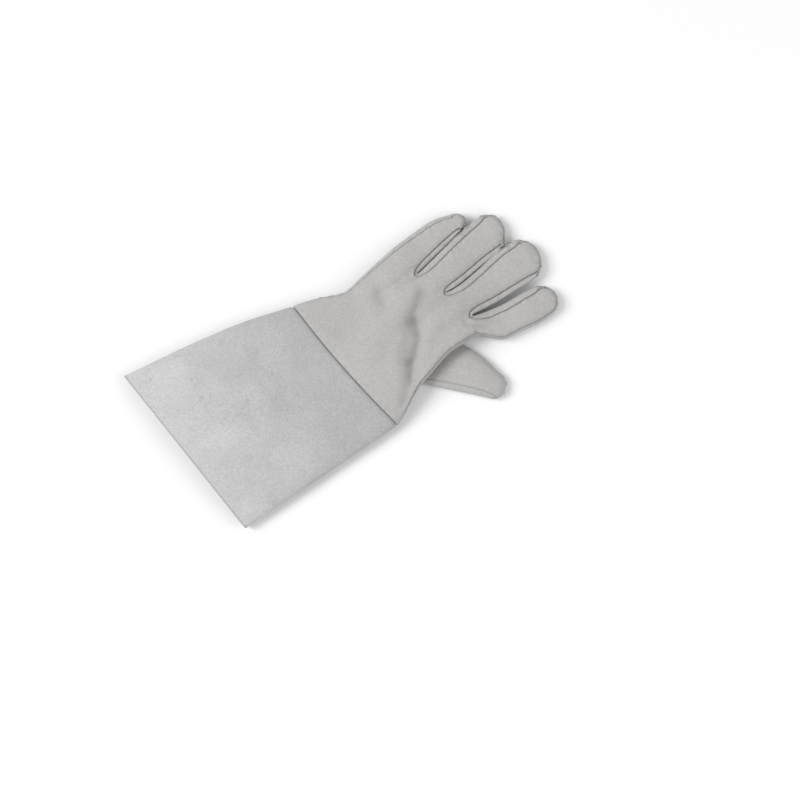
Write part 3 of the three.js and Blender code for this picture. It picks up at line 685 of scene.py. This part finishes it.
def ease(piece, rounds):
    """Eases the panel away from its seams, as soft leather lies."""
    co = vertex_array(piece.data)
    away = np.clip(nearest_of(co, sewn_corners(piece.data, co))[1] / EASE_FADE, 0, 1)
    group = piece.vertex_groups.new(name="away_from_seams")
    for k, weight in enumerate(away):
        group.add([k], float(weight), "REPLACE")
    finish_modifier(piece, "SMOOTH", factor=0.5, iterations=rounds, vertex_group=group.name)
    piece.vertex_groups.clear()


def leather_panel(node, thickness, faces_out, sizes, rounds):
    """The outer side of a CAD panel, smooth and still without thickness."""
    piece = whole_copy(node, f"leather_{node}")
    mesh = piece.data
    co, normals = vertex_array(mesh), normal_array(mesh)
    partners = inner_partners(co, normals, thickness)
    if (partners < 0).any():
        raise RuntimeError(f"{node}: {int((partners < 0).sum())} corners have no partner")
    lip = mesh.attributes.new("lip", "FLOAT_VECTOR", "POINT")
    lip.data.foreach_set("vector", (co[partners] - co).astype(np.float32).ravel())
    keep_faces(piece, outer_faces(mesh, partners, faces_out))
    fit_cage(piece)
    finish_modifier(piece, "SUBSURF", levels=sizes.smoothing, render_levels=sizes.smoothing,
                    boundary_smooth="PRESERVE_CORNERS")
    fill_wrist_side(piece)
    fill_little_tip(piece)
    ease(piece, rounds)
    return piece


def puff_strip(strip, share):
    """Raises a side strip beside the slit between two fingers, where it puffs up and closes the slit."""
    mesh = strip.data
    co = vertex_array(mesh)
    sewn = sewn_corners(mesh, co)
    high_seam = co[sewn, 2] > STRIP_SEAM_LEVEL
    seam_height = co[nearest_of(co, sewn[high_seam])[0], 2]
    low_height = co[nearest_of(co, sewn[~high_seam])[0], 2]
    level = np.clip((co[:, 2] - low_height) / np.maximum(seam_height - low_height, MM), 0, 1)
    middle = 0.5
    low = np.clip(level / middle, 0, 1)
    rise = np.where(level > middle, 1 - level, middle * low * low * (3 - 2 * low))
    co[:, 2] += share * seam_height * rise
    put_corners(mesh, co)


def give_thickness(piece, node, thickness, material):
    """Gives the panel its leather's thickness inwards and its material, and puts it in its node's place."""
    finish_modifier(piece, "SOLIDIFY", thickness=thickness, offset=-1.0, use_even_offset=False)
    piece.data.attributes.remove(piece.data.attributes["lip"])
    bpy.ops.object.shade_smooth_by_angle(angle=math.radians(50))
    piece.data.materials.clear()
    piece.data.materials.append(material)
    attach(piece, "root")
    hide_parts(node)


def faces_up(face):
    return face.normal.z * face.area


def faces_down(face):
    return -face.normal.z * face.area


def faces_tips(face):
    return face.normal.x * face.area


def is_larger(face):
    return face.area


class GLOVE_OT_stage(bpy.types.Operator):
    """Sets the table, the soft lights and the camera"""

    bl_idname = "glove.stage"
    bl_label = "Table, Lights and Camera"

    def execute(self, context):
        sizes, colours = context.scene.glove_sizes, context.scene.glove_colours
        deselect_all()
        bpy.ops.mesh.primitive_plane_add(size=TABLE_SIZE, location=(0, 0, TABLE_LEVEL))
        table = context.object
        table.name = "table_top"
        table.data.materials.append(matt_table(colours))
        right = VIEW_UP.cross(Vector((0, 0, 1)))
        for row in LAMPS:
            place = row["right"] * right + row["up"] * VIEW_UP + Vector((0, 0, row["high"]))
            bpy.ops.object.light_add(type="AREA", location=VIEW_CENTRE + place)
            lamp = context.object
            lamp.name = row["name"]
            lamp.data.shape = "SQUARE"
            lamp.data.size = row["size"]
            lamp.data.energy = row["watts"]
            lamp.rotation_mode = "QUATERNION"
            lamp.rotation_quaternion = (-place).to_track_quat("-Z", "Y")
        world = context.scene.world or bpy.data.worlds.new("studio")
        context.scene.world = world
        world.use_nodes = True
        tree = world.node_tree
        tree.nodes.clear()
        sky = add(tree, "ShaderNodeBackground", inputs={"Color": (1, 1, 1, 1), "Strength": SKY_STRENGTH})
        add(tree, "ShaderNodeOutputWorld", inputs={"Surface": sky.outputs["Background"]})
        context.scene.view_settings.view_transform = "Standard"
        bpy.ops.object.camera_add()
        camera = context.object
        camera.name = "camera"
        camera.data.lens = 100.0
        camera.data.sensor_width = 36.0
        camera.data.dof.use_dof = False
        distance = VIEW_WIDTH * camera.data.lens / camera.data.sensor_width
        high = sizes.camera_height
        back = Vector((0, 0, math.sin(high))) - VIEW_UP * math.cos(high)
        camera.location = VIEW_CENTRE + back * distance
        camera.rotation_mode = "QUATERNION"
        camera.rotation_quaternion = (-back).to_track_quat("-Z", "Y")
        camera.data.clip_start, camera.data.clip_end = 0.05, 50.0
        context.scene.camera = camera
        return {"FINISHED"}


class GLOVE_OT_cuff(bpy.types.Operator):
    """Makes the cuff's back and palm panels, of split leather with a cut edge at the mouth"""

    bl_idname = "glove.cuff"
    bl_label = "Cuff Panels"

    def execute(self, context):
        sizes = context.scene.glove_sizes
        material = leather_material(context, "buffed_split_leather", split_leather)
        for node, faces_out, seed in (("cuff_back", faces_up, 3.0), ("cuff_palm", faces_down, 5.0)):
            piece = leather_panel(node, sizes.cuff_leather, faces_out, sizes, rounds=2)
            co = vertex_array(piece.data)
            swell = gentle_waves(co, [(*wave, seed) for wave in CUFF_WAVES])
            if node == "cuff_palm":
                swell = np.maximum(0, swell)
            move_up(piece, swell * MM)
            turn_in_seams(piece, sizes, seed, puckers=0.3)
            give_thickness(piece, node, sizes.cuff_leather, material)
        return {"FINISHED"}


class GLOVE_OT_hand(bpy.types.Operator):
    """Makes the back and the palm of the hand, of grain leather with its worn folds"""

    bl_idname = "glove.hand"
    bl_label = "Hand Back and Palm"

    def execute(self, context):
        sizes = context.scene.glove_sizes
        material = leather_material(context, "chrome_tanned_grain_leather", tanned_grain_leather)
        back = leather_panel("hand_back", sizes.hand_leather, faces_up, sizes, rounds=16)
        co = vertex_array(back.data)
        plan = plan_of(co)
        depth = worn_lines(plan, BACK_LINES) * sizes.fold_strength
        depth += gentle_waves(co, BACK_WAVES)
        move_up(back, -depth * MM)
        ease(back, rounds=8)
        turn_in_seams(back, sizes, seed=7.0)
        # Paints shade into the creases of the back of the hand
        deepen_shade(back, worn_lines(plan, PAINTED_CREASE_SHADE))
        give_thickness(back, "hand_back", sizes.hand_leather, material)
        palm = leather_panel("hand_palm", sizes.hand_leather, faces_down, sizes, rounds=4)
        co = vertex_array(palm.data)
        depth = worn_lines(plan_of(co), PALM_LINES) * sizes.fold_strength
        depth += np.maximum(0, gentle_waves(co, PALM_WAVES))
        low = np.clip(1 - co[:, 2] / PALM_CREASE_LEVEL, 0, 1)
        move_up(palm, depth * low * MM)
        turn_in_seams(palm, sizes, seed=9.0)
        give_thickness(palm, "hand_palm", sizes.hand_leather, material)
        return {"FINISHED"}


class GLOVE_OT_side_strips(bpy.types.Operator):
    """Makes the three side strips that are sewn between the fingers"""

    bl_idname = "glove.side_strips"
    bl_label = "Side Strips Between the Fingers"

    def execute(self, context):
        sizes = context.scene.glove_sizes
        material = leather_material(context, "chrome_tanned_grain_leather", tanned_grain_leather)
        strips = ("fourchette_pinky_ring", "fourchette_ring_middle", "fourchette_middle_index")
        for k, node in enumerate(strips):
            strip = leather_panel(node, sizes.hand_leather, faces_tips, sizes, rounds=2)
            puff_strip(strip, share=0.6)
            turn_in_seams(strip, sizes, seed=11.0 + 2 * k)
            give_thickness(strip, node, sizes.hand_leather, material)
        return {"FINISHED"}


class GLOVE_OT_thumb(bpy.types.Operator):
    """Makes the wing thumb with its closing seam along the lower edge"""

    bl_idname = "glove.thumb"
    bl_label = "Thumb"

    def execute(self, context):
        sizes = context.scene.glove_sizes
        material = leather_material(context, "chrome_tanned_grain_leather", tanned_grain_leather)
        thumb = leather_panel("thumb", sizes.hand_leather, is_larger, sizes, rounds=14)
        co = vertex_array(thumb.data)
        plan = plan_of(co)
        on_top = np.clip(normal_array(thumb.data)[:, 2] * 2, 0, 1)
        depth = worn_lines(plan, THUMB_FOLDS) * sizes.fold_strength + gentle_waves(co, THUMB_WAVES)
        move_up(thumb, -depth * on_top * MM)
        turn_in_seams(thumb, sizes, seed=17.0)
        groove = np.exp(-(line_distance(plan, THUMB_SEAM)[0] / THUMB_GROOVE["width"]) ** 2)
        inwards = normal_array(thumb.data) * (THUMB_GROOVE["depth"] * groove * on_top)[:, None]
        put_corners(thumb.data, vertex_array(thumb.data) - inwards)
        # Paints shade along the groove of the thumb's seam
        deepen_shade(thumb, THUMB_GROOVE["shade"] * groove * on_top)
        give_thickness(thumb, "thumb", sizes.hand_leather, material)
        return {"FINISHED"}


class VIEW3D_PT_glove(bpy.types.Panel):
    """Sizes, colours and steps of the glove"""

    bl_label = "Leather Gauntlet Glove"
    bl_idname = "VIEW3D_PT_glove"
    bl_space_type = "VIEW_3D"
    bl_region_type = "UI"
    bl_category = "Glove"

    def draw(self, context):
        layout = self.layout
        for group in (context.scene.glove_sizes, context.scene.glove_colours):
            box = layout.box()
            for name in group.__annotations__:
                box.prop(group, name)
        for step in STEPS:
            layout.operator(step.bl_idname)


STEPS = (GLOVE_OT_stage, GLOVE_OT_cuff, GLOVE_OT_hand, GLOVE_OT_side_strips, GLOVE_OT_thumb)
CLASSES = (GloveSizes, GloveColours, *STEPS, VIEW3D_PT_glove)


def register():
    for cls in CLASSES:
        bpy.utils.register_class(cls)
    bpy.types.Scene.glove_sizes = bpy.props.PointerProperty(type=GloveSizes)
    bpy.types.Scene.glove_colours = bpy.props.PointerProperty(type=GloveColours)


def unregister():
    del bpy.types.Scene.glove_colours
    del bpy.types.Scene.glove_sizes
    for cls in reversed(CLASSES):
        bpy.utils.unregister_class(cls)


def main():
    register()
    bpy.ops.glove.stage()
    bpy.ops.glove.cuff()
    bpy.ops.glove.hand()
    bpy.ops.glove.side_strips()
    bpy.ops.glove.thumb()


if __name__ == "__main__":
    main()
